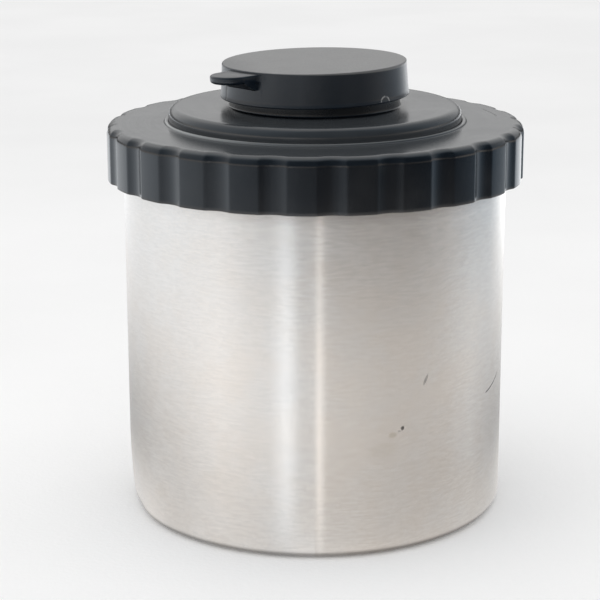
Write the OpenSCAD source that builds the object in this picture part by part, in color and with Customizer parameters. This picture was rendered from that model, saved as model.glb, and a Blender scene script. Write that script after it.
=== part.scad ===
// Film developing canister: a steel cup with a moulded lid, a pour cap, a light trap
// and two wire film reels, one on the other.
// The origin is the centre of the cup's foot, and +Z is up.

/* [Tank cup] */
// Outside diameter of the cup
cup_d = 87; // [72:0.5:106]
// Thickness of the cup's steel sheet
cup_wall = 0.8; // [0.6:0.1:1.2]
// Outside radius of the corner between the cup's wall and its foot
foot_round = 3; // [2:0.5:6]
// Width of the flat ring that the cup stands on
foot_ring_w = 9.5; // [6:0.5:14]
// Height that the middle of the cup's foot is raised
foot_dish = 0.6; // [0.3:0.1:1.2]
// Space from the top of the upper reel to the cup's rim
head_room = 8.4; // [6.9:0.1:20]

/* [Lid flange] */
// Height of the flange's side wall, from its lower edge to its flat top
flange_h = 12.3; // [9:0.1:14]
// Thickness of the flange's flat top
flange_top_t = 2.2; // [1.6:0.1:3]
// Thickness of the flange's outer skirt at a lobe
skirt_t = 3.4; // [2.8:0.1:5]
// Radius of the shoulder between the flange's top and its side
shoulder_round = 2; // [0.6:0.1:3]
// Depth that the inner ring of the flange reaches into the cup
plug_h = 6; // [4:0.1:7.2]
// Thickness of that inner ring
plug_t = 1.8; // [1.2:0.1:2.4]
// Number of scallops round the flange
scallop_count = 24; // [16:1:28]
// Depth of each scallop
scallop_depth = 0.85; // [0.6:0.05:1.8]
// Radius of each scallop's hollow
scallop_r = 5.9; // [3:0.05:7]
// Direction of the first scallop, in degrees from +X
scallop_phase = 4.3; // [0:0.1:15]
// Height of the lip round the flange's centre hole
lip_h = 0.5; // [0.3:0.1:1.2]
// Thickness of that lip
lip_t = 0.8; // [0.3:0.05:0.8]

/* [Lid centre] */
// Distance from the cup's outside to the side of the raised centre
centre_inset = 10.3; // [8:0.1:13]
// Height of the raised centre above the flange's flat top
centre_rise = 3.6; // [2.5:0.1:5]
// Thickness of the raised centre's plate and side
centre_t = 2.2; // [1.6:0.1:2.6]
// Radius of the raised centre's upper edge
centre_round = 2; // [0.4:0.1:2.1]
// Width that the retaining ring reaches under the flange
retainer_w = 3.1; // [1.5:0.1:4]
// Thickness of the retaining ring
retainer_t = 1.8; // [1.2:0.1:2.6]
// Outside diameter of the pouring neck
neck_d = 38.4; // [32:0.2:46.2]
// Thickness of the neck's wall
neck_t = 1.8; // [1.2:0.1:2.4]
// Height of the neck above the raised centre
neck_h = 8; // [6.6:0.1:12]

/* [Light trap] */
// Depth of the trap from the centre's underside to the floor of the disc
trap_depth = 5.1; // [4.2:0.1:6.2]
// Height of the passages over the disc's rim and under the hanging ring
trap_pass = 2.1; // [1.6:0.1:2.5]
// Thickness of the disc and of its rim
trap_t = 1.2; // [0.8:0.1:1.6]
// Thickness of the hanging ring that the disc's pegs fit into
hanger_t = 3.2; // [2.4:0.1:3.8]
// Number of pegs that carry the disc
peg_count = 4; // [3:1:6]
// Diameter of each peg's shoulder
peg_shoulder_d = 2.6; // [2:0.1:3]
// Diameter of each peg's tip
peg_tip_d = 1.6; // [1.2:0.1:1.8]
// Length of each peg's tip
peg_tip_h = 1.5; // [1:0.1:2]

/* [Pour cap] */
// Height of the cap
cap_h = 7.6; // [6:0.1:9.2]
// Thickness of the cap's top
cap_top_t = 1.8; // [1.2:0.1:2.4]
// Thickness of the cap's side at its lower edge
cap_wall = 2; // [1.4:0.1:2.6]
// Amount that the side draws in from the lower edge to the top
cap_draft = 0.5; // [0:0.05:0.6]
// Radius of the cap's upper edge
cap_round = 0.4; // [0.3:0.1:1]
// Direction of the pull tab, in degrees from +X
tab_angle = -138.5; // [-180:0.5:180]
// Length of the tab beyond the cap's side
tab_reach = 7.4; // [5:0.1:12]
// Width of the tab
tab_w = 9.3; // [5:0.1:12]
// Thickness of the tab
tab_t = 1.7; // [1.2:0.1:2.2]
// Drop from the cap's top to the tab's top
tab_drop = 0.45; // [0.4:0.05:1.4]
// Height of the wedge under the tab
wedge_h = 1.7; // [0.8:0.1:2.4]
// Length of the wedge along the tab's underside
wedge_reach = 3.2; // [1.5:0.1:5]

/* [Film reels] */
// Width of the film that the reels hold
film_w = 35; // [28:0.5:46]
// Diameter of the spiral wire
spiral_d = 1; // [0.8:0.1:1.3]
// Distance between one turn of the spiral and the next
spiral_pitch = 2.45; // [2:0.05:3]
// Diameter of the frame wire
frame_d = 1.5; // [1.2:0.1:1.8]
// Distance from the reel's axis to each post
post_r = 13; // [10.5:0.5:15.6]
// Bend radius of the frame wire's centre line
frame_bend = 1.5; // [1.2:0.1:2.5]
// Distance from the bend to the spiral's first turn
core_margin = 1.5; // [1:0.1:3]
// Diameter of the core ring's wire
ring_d = 1.5; // [1.2:0.1:1.8]
// Distance from each end of the reel to its core ring
ring_inset = 6; // [4.5:0.1:7.5]

/* [Film clip] */
// Height of the clip's leaf
clip_h = 20; // [14:0.5:22]
// Thickness of the clip's leaf
clip_t = 0.5; // [0.4:0.1:0.8]
// Height of each knuckle that turns on the post
knuckle_h = 4; // [3:0.5:6]
// Thickness of the knuckle's wall
knuckle_t = 0.6; // [0.4:0.1:0.9]
// Diameter of the rolled edge that holds the film
clip_roll_d = 1.6; // [1.2:0.1:2]

/* [Fits and clearances] */
// Gap between the cup's wall and the lid's skirt and inner ring
lid_gap = 0.3; // [0.2:0.05:0.5]
// Gap between the cup's rim and the underside of the flange's top
rim_gap = 0.2; // [0.1:0.05:0.4]
// Gap between the neck and the cap
cap_gap = 0.15; // [0.1:0.05:0.3]
// Gap round the raised centre in the flange's hole and round each peg's tip
press_gap = 0.05; // [0.02:0.01:0.1]
// Least gap between a reel and the cup's wall
reel_side_gap = 2.2; // [1.5:0.1:4]
// Gap under each reel where it stands
seat_gap = 0.3; // [0.2:0.05:0.5]
// Play of the film between the frame wires
film_gap = 0.2; // [0.1:0.05:0.4]
// Depth that two welded wires sink into each other
weld_depth = 0.1; // [0.05:0.05:0.2]
// Gap between the clip's knuckle and its post
knuckle_gap = 0.06; // [0.02:0.01:0.1]
// Gap between the clip's rolled edge and the next post
clip_gap = 0.3; // [0.2:0.05:0.6]

/* [Hidden] */

// Smoothness of large round faces and of wires
$fn = 120;
wire_fn = 40;
// Extra length of a cutting shape past the face that it cuts
cut = 1;

steel = "lightgray";
wire_steel = "silver";
lid_black = [0.12, 0.13, 0.14];
cap_black = [0.17, 0.18, 0.2];

// Radii of the cup
cup_r = cup_d / 2;
cup_in_r = cup_r - cup_wall;
dish_r = cup_r - foot_round - foot_ring_w;
cup_floor = cup_wall + foot_dish;

// Reel sizes that follow from the film, the wires and the cup
frame_count = 4;
half_pitch = spiral_pitch / 2;
spiral_r = post_r + frame_bend + core_margin;
spiral_room = cup_in_r - reel_side_gap - spiral_d / 2 - half_pitch / 2 - spiral_r;
half_turns = floor(spiral_room / half_pitch) + 1;
reel_r = spiral_r + (half_turns - 1) * half_pitch + half_pitch / 2 + spiral_d / 2;
reel_h = film_w + film_gap + 2 * frame_d;
spiral_z = frame_d + spiral_d / 2 - weld_depth;
ring_r = post_r - frame_d / 2 - ring_d / 2 + weld_depth;
// Angle that the spiral's wire runs on past the spoke at each end
spiral_end = 3;

// Heights from the cup's foot upwards
lower_reel_z = cup_floor + seat_gap;
upper_reel_z = lower_reel_z + reel_h + seat_gap;
cup_h = upper_reel_z + reel_h + head_room;
flange_under_z = cup_h + rim_gap;
flange_top_z = flange_under_z + flange_top_t;
flange_low_z = flange_top_z - flange_h;
centre_top_z = flange_top_z + centre_rise;
centre_under_z = centre_top_z - centre_t;
neck_rim_z = centre_top_z + neck_h;
cap_top_z = neck_rim_z + cap_gap + cap_top_t;
cap_low_z = cap_top_z - cap_h;

// Radii of the lid
flange_r = cup_r + lid_gap + skirt_t;
plug_r = cup_in_r - lid_gap;
centre_r = cup_r - centre_inset;
centre_hole_r = centre_r + press_gap;
neck_r = neck_d / 2;
neck_bore_r = neck_r - neck_t;
cap_r = neck_r + cap_gap + cap_wall;

// Light trap: the three gaps across it are equal
trap_gap = (centre_r - centre_t - neck_bore_r - hanger_t - trap_t) / 3;
hanger_in_r = neck_bore_r + trap_gap;
trap_r = centre_r - centre_t - trap_gap;
trap_floor_z = centre_under_z - trap_depth;
hanger_low_z = trap_floor_z + trap_pass;
peg_ring_r = hanger_in_r + hanger_t / 2;

// Film clip: its leaf lies along the line from one post to the next
clip_direction = 90 + 180 / frame_count;
knuckle_r = frame_d / 2 + knuckle_gap + knuckle_t;
post_chord = 2 * post_r * sin(180 / frame_count);
clip_len = post_chord - frame_d / 2 - clip_roll_d / 2 - clip_gap;
clip_z = (reel_h - clip_h) / 2;

// Angle between the points at which the spiral's gap is measured
gap_step = 10;

// Least gap between the spiral and itself, measured between points on its centre line
function half_turn_point(k, a) =
    let (r = spiral_r + k * half_pitch)
    let (side = k % 2 == 0 ? 1 : -1)
    [-side * half_pitch / 2 + side * r * cos(a), side * r * sin(a)];
spiral_gap = min([
    for (k = [0 : half_turns - 3])
        for (a = [0 : gap_step : 180])
            for (b = [0 : gap_step : 180])
                norm(half_turn_point(k, a) - half_turn_point(k + 2, b))
]) - spiral_d;
echo(spiral_gap = spiral_gap, half_turns = half_turns, reel_r = reel_r, total_h = cap_top_z);

// A square from the axis out to r and up to h, with its lower outer corner rounded
module cup_block(r, h, corner) {
    square([r - corner, h]);
    translate([0, corner])
        square([r, h - corner]);
    translate([r - corner, corner])
        circle(r = corner);
}

// The material outside a rounded upper outer corner at the point p
module upper_corner(p, r) {
    translate([p.x - r, p.y - r])
        difference() {
            square(r + cut);
            circle(r = r);
        }
}

// Steel cup: wall, rounded foot corner, raised middle and rounded rim
module tank_cup() {
    color(steel)
        rotate_extrude() {
            difference() {
                cup_block(cup_r, cup_h - cup_wall / 2, foot_round);
                translate([-cut, 0])
                    square([dish_r - cup_wall + cut, foot_dish]);
                translate([0, cup_wall])
                    difference() {
                        cup_block(cup_in_r, cup_h, foot_round - cup_wall);
                        square([dish_r, foot_dish]);
                    }
            }
            translate([cup_r - cup_wall / 2, cup_h - cup_wall / 2])
                circle(d = cup_wall, $fn = wire_fn);
        }
}

// Section of the flange before its scallops are cut
module flange_section() {
    difference() {
        union() {
            translate([centre_hole_r, flange_under_z])
                square([flange_r - centre_hole_r, flange_top_t]);
            translate([cup_r + lid_gap, flange_low_z])
                square([skirt_t, flange_h]);
        }
        upper_corner([flange_r, flange_top_z], shoulder_round);
    }
    translate([plug_r - plug_t, flange_under_z - plug_h])
        square([plug_t, plug_h]);
    translate([centre_hole_r, flange_top_z])
        square([lip_t, lip_h - lip_t / 2]);
    translate([centre_hole_r + lip_t / 2, flange_top_z + lip_h - lip_t / 2])
        circle(d = lip_t, $fn = wire_fn);
}

// Moulded ring with a scalloped grip, a skirt round the cup and a ring inside it
module lid_flange() {
    color(lid_black)
        difference() {
            rotate_extrude()
                flange_section();
            for (i = [0 : scallop_count - 1])
                rotate(scallop_phase + i * 360 / scallop_count)
                    translate([flange_r - scallop_depth + scallop_r, 0, flange_low_z - cut])
                        cylinder(r = scallop_r, h = flange_h + 2 * cut);
        }
}

// Places a shape at each peg
module at_pegs() {
    for (i = [0 : peg_count - 1])
        rotate((i + 0.5) * 360 / peg_count)
            translate([peg_ring_r, 0, 0])
                children();
}

// Raised centre of the lid with the pouring neck, the retaining ring and the hanging ring
module lid_centre() {
    color(lid_black)
        difference() {
            rotate_extrude() {
                difference() {
                    translate([neck_bore_r, centre_under_z])
                        square([centre_r - neck_bore_r, centre_t]);
                    upper_corner([centre_r, centre_top_z], centre_round);
                }
                translate([neck_bore_r, centre_top_z])
                    square([neck_t, neck_h]);
                translate([centre_r - centre_t, flange_under_z - retainer_t])
                    square([centre_t, centre_under_z - flange_under_z + retainer_t]);
                translate([centre_r, flange_under_z - retainer_t])
                    square([retainer_w, retainer_t]);
                translate([hanger_in_r, hanger_low_z])
                    square([hanger_t, centre_under_z - hanger_low_z]);
            }
            at_pegs()
                translate([0, 0, hanger_low_z - cut])
                    cylinder(d = peg_tip_d + 2 * press_gap, h = peg_tip_h + press_gap + cut, $fn = wire_fn);
        }
}

// Dished disc that stops light and lets liquid round its rim, with the pegs that carry it
module light_trap_disc() {
    color(lid_black) {
        rotate_extrude() {
            translate([0, trap_floor_z - trap_t])
                square([trap_r, trap_t]);
            translate([trap_r - trap_t, trap_floor_z])
                square([trap_t, trap_depth - trap_pass]);
        }
        at_pegs() {
            translate([0, 0, trap_floor_z - trap_t / 2])
                cylinder(d = peg_shoulder_d, h = trap_pass + trap_t / 2, $fn = wire_fn);
            translate([0, 0, trap_floor_z])
                cylinder(d = peg_tip_d, h = trap_pass + peg_tip_h, $fn = wire_fn);
        }
    }
}

// Pull tab with its round end, and the wedge between its underside and the cap's side
module pull_tab() {
    tab_top_z = cap_top_z - tab_drop;
    tab_low_z = tab_top_z - tab_t;
    tab_end_r = tab_w / 2;
    rotate(tab_angle) {
        translate([0, 0, tab_low_z])
            linear_extrude(tab_t) {
                translate([neck_r + cap_gap + cap_wall / 2, -tab_w / 2])
                    square([cap_wall / 2 + tab_reach - tab_end_r, tab_w]);
                translate([cap_r + tab_reach - tab_end_r, 0])
                    circle(r = tab_end_r);
            }
        translate([0, tab_w / 2, 0])
            rotate([90, 0, 0])
                linear_extrude(tab_w)
                    polygon([
                        [cap_r - cap_wall / 2, tab_low_z - wedge_h],
                        [cap_r, tab_low_z - wedge_h],
                        [cap_r + wedge_reach, tab_low_z],
                        [cap_r - cap_wall / 2, tab_low_z],
                    ]);
    }
}

// Soft cap that presses over the neck
module pour_cap() {
    cap_in_r = neck_r + cap_gap;
    color(cap_black)
        difference() {
            union() {
                rotate_extrude()
                    difference() {
                        polygon([
                            [0, cap_low_z],
                            [cap_r, cap_low_z],
                            [cap_r - cap_draft, cap_top_z],
                            [0, cap_top_z],
                        ]);
                        upper_corner([cap_r - cap_draft, cap_top_z], cap_round);
                    }
                pull_tab();
            }
            translate([0, 0, cap_low_z - cut])
                cylinder(r = cap_in_r, h = cap_h - cap_top_t + cut);
        }
}

// One spiral wire, wound as half turns about two centres, at height z in the reel
module spiral_wire(reel_z, z) {
    color(wire_steel)
        for (k = [0 : half_turns - 1]) {
            side = k % 2 == 0 ? 1 : -1;
            lead = k == 0 ? spiral_end : 0;
            tail = k == half_turns - 1 ? spiral_end : 0;
            translate([-side * half_pitch / 2, 0, reel_z + z])
                rotate_extrude(angle = 180 + lead + tail, start = (side > 0 ? 0 : 180) - lead)
                    translate([spiral_r + k * half_pitch, 0])
                        circle(d = spiral_d, $fn = wire_fn);
        }
}

// A quarter bend of frame wire in the plane of its spoke, from the angle start
module frame_corner(start) {
    rotate([90, 0, 0])
        rotate_extrude(angle = 90, start = start)
            translate([frame_bend, 0])
                circle(d = frame_d, $fn = wire_fn);
}

// One spoke of frame wire from the bend out to its rounded tip
module frame_spoke() {
    spoke_len = reel_r - frame_d / 2 - post_r - frame_bend;
    rotate([0, 90, 0])
        cylinder(d = frame_d, h = spoke_len, $fn = wire_fn);
    translate([spoke_len, 0, 0])
        sphere(d = frame_d, $fn = wire_fn);
}

// One U-shaped frame wire: lower spoke, post and upper spoke
module frame_wire(reel_z, index) {
    low = reel_z + frame_d / 2;
    high = reel_z + reel_h - frame_d / 2;
    color(wire_steel)
        rotate(index * 360 / frame_count) {
            translate([post_r + frame_bend, 0, low])
                frame_spoke();
            translate([post_r + frame_bend, 0, low + frame_bend])
                frame_corner(180);
            translate([post_r, 0, low + frame_bend])
                cylinder(d = frame_d, h = high - low - 2 * frame_bend, $fn = wire_fn);
            translate([post_r + frame_bend, 0, high - frame_bend])
                frame_corner(90);
            translate([post_r + frame_bend, 0, high])
                frame_spoke();
        }
}

// One ring of wire that joins the posts on their inner side
module core_ring(z) {
    color(wire_steel)
        translate([0, 0, z])
            rotate_extrude()
                translate([ring_r, 0])
                    circle(d = ring_d, $fn = wire_fn);
}

// Sprung leaf that turns on the first post and holds the film's end against the second
module film_clip(reel_z) {
    leaf_y = knuckle_r - clip_t;
    color(wire_steel)
        translate([post_r, 0, reel_z + clip_z])
            rotate(clip_direction)
                difference() {
                    union() {
                        translate([0, leaf_y, 0])
                            cube([clip_len, clip_t, clip_h]);
                        translate([clip_len, knuckle_r - clip_roll_d / 2, 0])
                            cylinder(d = clip_roll_d, h = clip_h, $fn = wire_fn);
                        for (z = [0, clip_h - knuckle_h])
                            translate([0, 0, z])
                                cylinder(r = knuckle_r, h = knuckle_h, $fn = wire_fn);
                    }
                    translate([0, 0, -cut])
                        cylinder(d = frame_d + 2 * knuckle_gap, h = clip_h + 2 * cut, $fn = wire_fn);
                }
}

tank_cup();
lid_flange();
lid_centre();
light_trap_disc();
pour_cap();

spiral_wire(lower_reel_z, spiral_z);  // lower_reel_lower_spiral
spiral_wire(lower_reel_z, reel_h - spiral_z);  // lower_reel_upper_spiral
frame_wire(lower_reel_z, 0);  // lower_reel_frame_wire_1
frame_wire(lower_reel_z, 1);  // lower_reel_frame_wire_2
frame_wire(lower_reel_z, 2);  // lower_reel_frame_wire_3
frame_wire(lower_reel_z, 3);  // lower_reel_frame_wire_4
core_ring(lower_reel_z + ring_inset);  // lower_reel_lower_core_ring
core_ring(lower_reel_z + reel_h - ring_inset);  // lower_reel_upper_core_ring
film_clip(lower_reel_z);  // lower_reel_film_clip

spiral_wire(upper_reel_z, spiral_z);  // upper_reel_lower_spiral
spiral_wire(upper_reel_z, reel_h - spiral_z);  // upper_reel_upper_spiral
frame_wire(upper_reel_z, 0);  // upper_reel_frame_wire_1
frame_wire(upper_reel_z, 1);  // upper_reel_frame_wire_2
frame_wire(upper_reel_z, 2);  // upper_reel_frame_wire_3
frame_wire(upper_reel_z, 3);  // upper_reel_frame_wire_4
core_ring(upper_reel_z + ring_inset);  // upper_reel_lower_core_ring
core_ring(upper_reel_z + reel_h - ring_inset);  // upper_reel_upper_core_ring
film_clip(upper_reel_z);  // upper_reel_film_clip
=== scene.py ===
"""Film developing canister: its turned and moulded pieces and their finishes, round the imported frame.

Sizes of the pieces and of marks on them are in millimetres, and are brought to metres where a mesh or a
material is made. Angles in fields are in degrees, and azimuths turn from +X towards +Y. The shared frame
has its origin at the centre of the cup's foot, with +Z up, and the camera looks along +Y.
"""

import logging
import math
from collections.abc import Callable, Sequence
from dataclasses import dataclass
from enum import Enum
from itertools import pairwise
from typing import Any, NamedTuple

import bmesh
import bpy
from mathutils import Matrix, Vector


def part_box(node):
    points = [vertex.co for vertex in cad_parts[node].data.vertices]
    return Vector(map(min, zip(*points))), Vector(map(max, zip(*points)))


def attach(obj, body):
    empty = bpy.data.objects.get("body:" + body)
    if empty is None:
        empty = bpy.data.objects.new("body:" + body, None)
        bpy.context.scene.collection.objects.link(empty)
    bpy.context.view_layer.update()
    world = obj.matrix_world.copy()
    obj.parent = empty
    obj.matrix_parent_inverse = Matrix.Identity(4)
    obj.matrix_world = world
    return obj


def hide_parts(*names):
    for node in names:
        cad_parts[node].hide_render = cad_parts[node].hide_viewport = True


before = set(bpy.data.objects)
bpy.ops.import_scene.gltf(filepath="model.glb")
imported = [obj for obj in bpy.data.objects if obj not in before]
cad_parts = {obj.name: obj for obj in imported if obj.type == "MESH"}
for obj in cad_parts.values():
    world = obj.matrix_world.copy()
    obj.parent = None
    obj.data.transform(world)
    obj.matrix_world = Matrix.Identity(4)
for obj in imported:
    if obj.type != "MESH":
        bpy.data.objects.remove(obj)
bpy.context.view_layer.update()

MM = 0.001
TURN = 2 * math.pi
# closer than these, places count as the same: on a profile, in a selection, and when vertices are merged
SAME = 1e-4
NEAR_MM = 0.01
WELD_M = 1e-7
SMOOTH_ANGLE = math.radians(32)
log = logging.getLogger("canister")

# red, green, blue and alpha
Colour = tuple[float, float, float, float]
# where a smooth step starts and ends
Span = tuple[float, float]
# where a smooth step starts and ends, and what it gives there
Ramp = tuple[float, float, float, float]


class Pick(Enum):
    """What a selection picks in edit mode."""

    VERTS = "VERT"
    EDGES = "EDGE"


class Edge(float, Enum):
    """The usual roundings of an edge, in millimetres."""

    SHARP = 0.2
    CRISP = 0.3
    EASED = 0.4
    SOFT = 0.5
    WIDE = 0.6


class Wire:
    """A number or colour that changes over a surface, with arithmetic that adds Math nodes."""

    def __init__(self, graph: "Graph", socket: bpy.types.NodeSocket) -> None:
        """Wraps one output socket of a graph."""
        self.graph = graph
        self.socket = socket

    def output(self, name: str) -> "Wire":
        """Gives another output of the same node."""
        return Wire(self.graph, self.socket.node.outputs[name])

    def calc(self, operation: str, *terms: Any) -> "Wire":
        """Adds one Math node that works on the given terms."""
        return self.graph.add("Math", {"operation": operation}, dict(enumerate(terms)))

    def __add__(self, other: Any) -> "Wire":
        """Adds a number or a wire."""
        return self.calc("ADD", self, other)

    __radd__ = __add__

    def __sub__(self, other: Any) -> "Wire":
        """Takes a number or a wire away."""
        return self.calc("SUBTRACT", self, other)

    def __rsub__(self, other: Any) -> "Wire":
        """Takes this wire away from a number."""
        return self.calc("SUBTRACT", other, self)

    def __mul__(self, other: Any) -> "Wire":
        """Multiplies by a number or a wire."""
        return self.calc("MULTIPLY", self, other)

    __rmul__ = __mul__

    def __truediv__(self, other: Any) -> "Wire":
        """Divides by a number or a wire."""
        return self.calc("DIVIDE", self, other)

    def __abs__(self) -> "Wire":
        """Gives the size without its sign."""
        return self.calc("ABSOLUTE", self)

    def power(self, exponent: float) -> "Wire":
        """Raises to a power."""
        return self.calc("POWER", self, exponent)

    def step(self, low: float, high: float, start: float = 0.0, end: float = 1.0) -> "Wire":
        """Runs smoothly from start, at or below low, to end, at or above high."""
        settings = {"interpolation_type": "SMOOTHSTEP", "clamp": True}
        values = {"Value": self, "From Min": low, "From Max": high, "To Min": start, "To Max": end}
        return self.graph.add("MapRange", settings, values)


class Graph:
    """The nodes of one material or of the world."""

    def __init__(self, tree: bpy.types.NodeTree) -> None:
        """Empties a node tree and takes it over."""
        tree.nodes.clear()
        self.tree = tree

    def add(self, kind: str, settings: dict | None = None, inputs: dict | None = None) -> Wire | None:
        """Adds one node and gives its first output.

        Args:
            kind: The node's type, without its ShaderNode prefix.
            settings: Properties that are set first; "stops" holds a ramp's places and colours.
            inputs: Values or wires by socket name or number.

        Returns:
            The node's first output, or None for a node without outputs.
        """
        node = self.tree.nodes.new("ShaderNode" + kind)
        for name, value in (settings or {}).items():
            if name == "stops":
                self._set_stops(node.color_ramp, value)
            else:
                setattr(node, name, value)
        for key, value in (inputs or {}).items():
            if isinstance(value, Wire):
                self.tree.links.new(value.socket, node.inputs[key])
            else:
                node.inputs[key].default_value = value
        return Wire(self, node.outputs[0]) if len(node.outputs) else None

    @staticmethod
    def _set_stops(ramp: bpy.types.ColorRamp, stops: Sequence[tuple[float, tuple]]) -> None:
        """Sets a ramp's stops from places and colours."""
        while len(ramp.elements) < len(stops):
            ramp.elements.new(1.0)
        for element, (place, colour) in zip(ramp.elements, stops):
            element.position = place
            element.color = colour

    def place(self) -> tuple[Wire, Wire, Wire, Wire]:
        """Gives the point on the surface as a vector, and its three coordinates in metres."""
        point = self.add("TexCoord").output("Object")
        x = self.add("SeparateXYZ", None, {"Vector": point})
        return point, x, x.output("Y"), x.output("Z")

    def noise(self, vector: Wire, scale: float, detail: float = 2.0, roughness: float = 0.5) -> Wire:
        """Gives noise from about 0.25 to 0.75, with features of 1 / scale metres."""
        inputs = {"Vector": vector, "Scale": scale, "Detail": detail, "Roughness": roughness}
        return self.add("TexNoise", None, inputs)

    def stretched(self, x: Wire, y: Wire, z: Wire, along: float, up: float) -> Wire:
        """Gives coordinates for a noise of scale 1, with its own number of features per metre upwards."""
        return self.add("CombineXYZ", None, {"X": x * along, "Y": y * along, "Z": z * up})

    def blend(self, factor: Any, first: Any, second: Any) -> Wire:
        """Mixes two colours."""
        inputs = {"Factor": factor, 6: first, 7: second}
        node = self.add("Mix", {"data_type": "RGBA"}, inputs)
        return Wire(self, node.socket.node.outputs[2])

    def multiply(self, first: Any, second: Any) -> Wire:
        """Multiplies two colours."""
        node = self.add("Mix", {"data_type": "RGBA", "blend_type": "MULTIPLY"},
                        {"Factor": 1.0, 6: first, 7: second})
        return Wire(self, node.socket.node.outputs[2])

    def bump(self, height: Wire, strength: float, distance_mm: float) -> Wire:
        """Gives a normal that a height from 0 to 1 tilts, where 1 stands for the distance."""
        inputs = {"Height": height, "Strength": strength, "Distance": distance_mm * MM}
        return self.add("Bump", None, inputs)

    def surface(self, inputs: dict) -> None:
        """Adds the main shader and joins it to the material's output."""
        self.add("OutputMaterial", None, {"Surface": self.add("BsdfPrincipled", None, inputs)})

    def turn_of(self, up: Wire, across: Wire) -> Wire:
        """Gives the angle of a direction in radians, from the across axis towards the up axis."""
        return self.add("Math", {"operation": "ARCTAN2"}, {0: up, 1: across})


def new_material(name: str) -> tuple[bpy.types.Material, Graph]:
    """Makes a material with an empty graph."""
    material = bpy.data.materials.new(name)
    material.use_nodes = True
    return material, Graph(material.node_tree)


def grey(level: float, warmth: float = 0.0) -> Colour:
    """Gives a colour near a grey level; warmth lifts red and lowers blue by that share."""
    return (level * (1 + warmth), level, level * (1 - warmth), 1.0)


def distance(x: Wire, y: Wire) -> Wire:
    """Gives how far a point lies from where both its coordinates are 0."""
    return (x * x + y * y).power(0.5)


def outward(x: Wire, y: Wire, azimuth: float) -> Wire:
    """Gives how far out a point lies towards an azimuth."""
    angle = math.radians(azimuth)
    return x * math.cos(angle) + y * math.sin(angle)


def sideways(x: Wire, y: Wire, azimuth: float) -> Wire:
    """Gives how far a point lies to the side of an azimuth, in millimetres."""
    angle = math.radians(azimuth)
    return x * (-math.sin(angle) / MM) + y * (math.cos(angle) / MM)


@dataclass(frozen=True)
class Blemish:
    """A small dark mark on the cup's wall: where it is, its half width and half height, and its lean."""

    azimuth: float
    height: float
    width: float
    length: float
    strength: float
    lean: float = 0.0


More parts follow.
